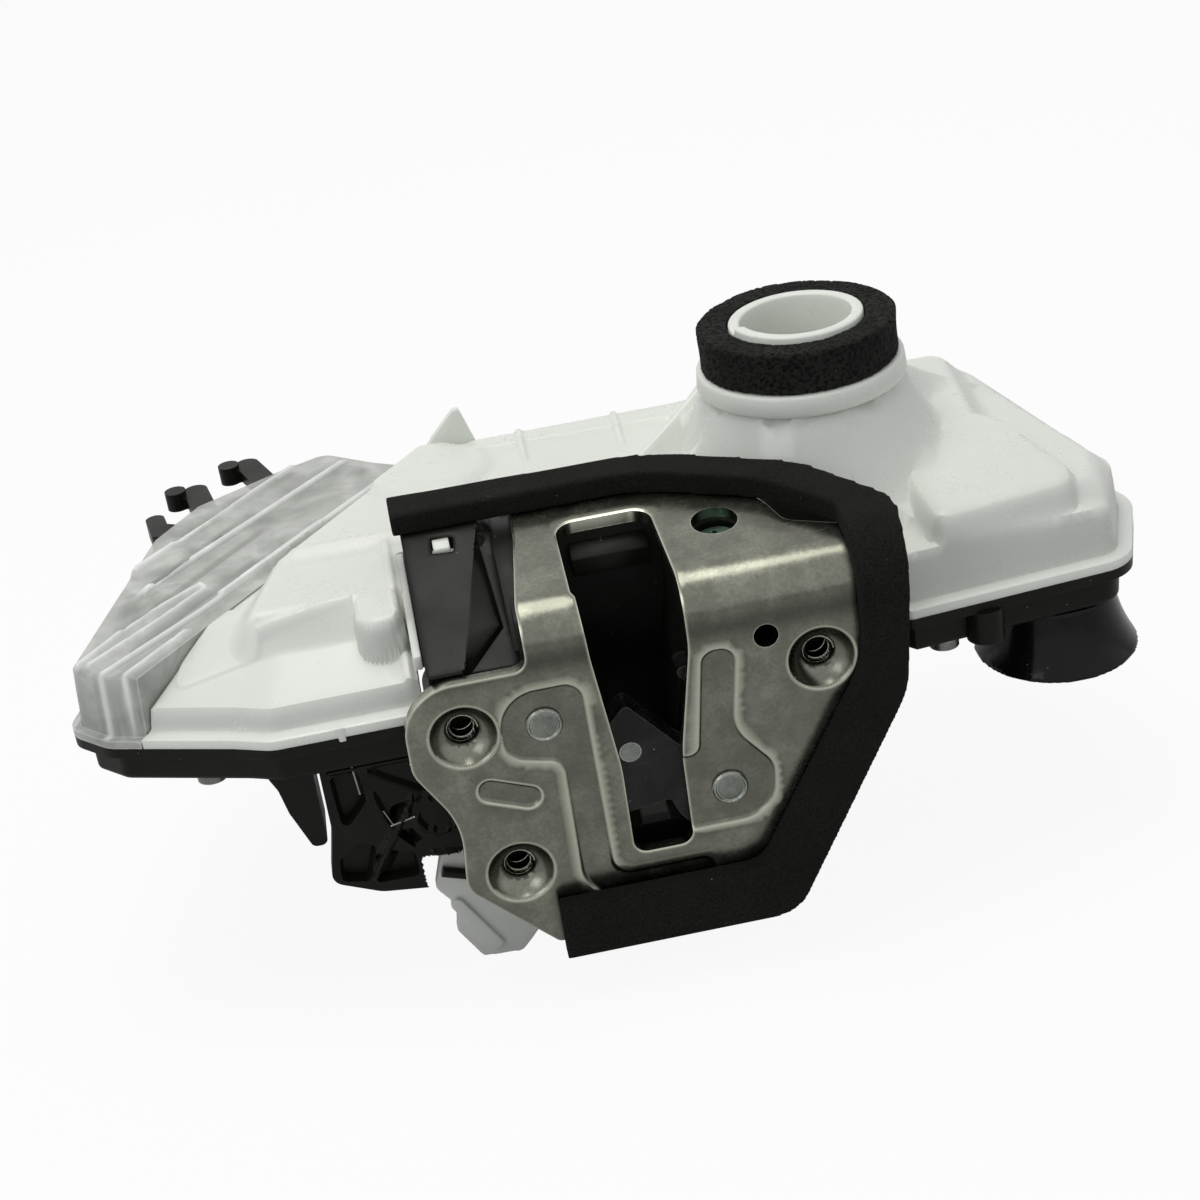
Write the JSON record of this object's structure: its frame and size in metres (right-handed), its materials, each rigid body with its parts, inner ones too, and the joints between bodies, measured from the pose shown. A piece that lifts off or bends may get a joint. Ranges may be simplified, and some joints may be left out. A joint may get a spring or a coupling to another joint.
{
  "type": "door latch actuator",
  "caption": "Vehicle side-door latch with its lock actuator: angled striker-slot face plate, fork and pawl, and a plastic case holding a motor drive, key spigot, seals and cable levers.",
  "frame": {"origin": "middle of the striker slot on the outer skin of the face plate, halfway between the lobe top and the slot's lower end", "axes": "+X along the case to the connector end, +Y from the face plate into the door, +Z along the key spigot, out of its mouth"},
  "size_m": [0.2405, 0.1395, 0.121],
  "materials": {
    "zinc_steel": "bright zinc plate, slightly olive, satin",
    "rivet_steel": "zinc plated, turned",
    "spring_steel": "drawn wire",
    "coated_fork": "moulded black coat over steel",
    "seal_foam": "closed-cell foam rubber",
    "open_foam": "open-cell foam",
    "pale_rubber": "smooth elastomer",
    "black_plastic": "fine moulded satin",
    "gloss_black": "smooth glossy",
    "white_plastic": "milky semi-gloss",
    "clear_plastic": "frosted, translucent",
    "lever_plastic": "pale grey moulded",
    "grey_plastic": "natural moulded",
    "contact_brass": "tinned brass",
    "motor_steel": "drawn can",
    "screw_steel": "zinc plated",
    "green_screw": "green passivated, worn"
  },
  "bodies": {
    "housing": {"face_plate": "zinc_steel", "plate_seal": "seal_foam", "latch_body": "black_plastic", "shoulder_panel": "black_plastic", "back_plate": "zinc_steel", "fork_pivot": "rivet_steel", "pawl_pivot": "rivet_steel", "fork_spring": "spring_steel", "pawl_spring": "spring_steel", "striker_bumper": "pale_rubber", "rear_case": "black_plastic", "case_seal": "seal_foam", "front_cover": "white_plastic", "wing_cover": "clear_plastic", "lever_pins": "rivet_steel", "cable_clip": "black_plastic", "foam_ring": "open_foam", "connector_hood": "gloss_black", "connector_socket": "grey_plastic", "contact_pins": "contact_brass", "circuit_carrier": "grey_plastic", "position_switches": "black_plastic", "motor_can": "motor_steel", "motor_end_cap": "black_plastic", "case_screws": "screw_steel", "latch_screws": "green_screw", "lever_bracket": "black_plastic", "release_pin": "rivet_steel"},
    "fork": {"fork_bolt": "coated_fork", "fork_insert": "rivet_steel"},
    "pawl_body": {"pawl": "rivet_steel"},
    "release": {"release_lever": "lever_plastic", "link_rod": "black_plastic"},
    "gear": {"lock_gear": "grey_plastic"},
    "worm_shaft": {"worm": "rivet_steel"},
    "lock": {"lock_lever": "grey_plastic"},
    "rotor": {"key_rotor": "grey_plastic"},
    "inside_release": {"inside_lever": "black_plastic"},
    "locking": {"locking_lever": "black_plastic"}
  },
  "joints": [
    {"name": "fork_turn", "type": "hinge", "parent": "housing", "child": "fork", "pos_m": [0.0164, 0.0065, -0.0169], "axis": [0, -1, 0], "range_deg": [0, 60], "stiffness_Nm_per_rad": 0.05, "springref_deg": -34.38},
    {"name": "release_turn", "type": "hinge", "parent": "housing", "child": "release", "pos_m": [-0.038, 0.0185, -0.024], "axis": [0, -1, 0], "range_deg": [0, 16], "stiffness_Nm_per_rad": 0.05, "springref_deg": -28.65},
    {"name": "pawl_turn", "type": "hinge", "parent": "housing", "child": "pawl_body", "pos_m": [-0.0204, 0.0058, 0.0069], "axis": [0, 1, 0], "range_deg": [0, 12]},
    {"name": "lock_gear_turn", "type": "hinge", "parent": "housing", "child": "gear", "pos_m": [0.008, 0.068, 0.0102], "axis": [0, 0, 1], "range_deg": [0, 72]},
    {"name": "worm_spin", "type": "hinge", "parent": "housing", "child": "worm_shaft", "pos_m": [0.008, 0.085, 0.0102], "axis": [1, 0, 0], "range_deg": [0, 1872]},
    {"name": "lock_lever_turn", "type": "hinge", "parent": "housing", "child": "lock", "pos_m": [-0.016, 0.068, 0.0146], "axis": [0, 0, 1], "range_deg": [-24, 0]},
    {"name": "locking_lever_turn", "type": "hinge", "parent": "housing", "child": "locking", "pos_m": [-0.084, 0.086, 0.0201], "axis": [0, 0, 1], "range_deg": [0, 12]},
    {"name": "inside_lever_turn", "type": "hinge", "parent": "housing", "child": "inside_release", "pos_m": [-0.066, 0.098, 0.0201], "axis": [0, 0, -1], "range_deg": [0, 14], "stiffness_Nm_per_rad": 0.02, "springref_deg": -17.19},
    {"name": "key_turn", "type": "hinge", "parent": "housing", "child": "rotor", "pos_m": [0.053, 0.065, 0.03], "axis": [0, 0, 1], "range_deg": [-38, 38], "stiffness_Nm_per_rad": 0.01}
  ],
  "couplings": [
    {"joint": "pawl_turn", "follows": "release_turn", "ratio": 0.75},
    {"joint": "worm_spin", "follows": "lock_gear_turn", "ratio": 26},
    {"joint": "lock_lever_turn", "follows": "lock_gear_turn", "ratio": -0.33333},
    {"joint": "locking_lever_turn", "follows": "lock_gear_turn", "ratio": 0.16667}
  ]
}
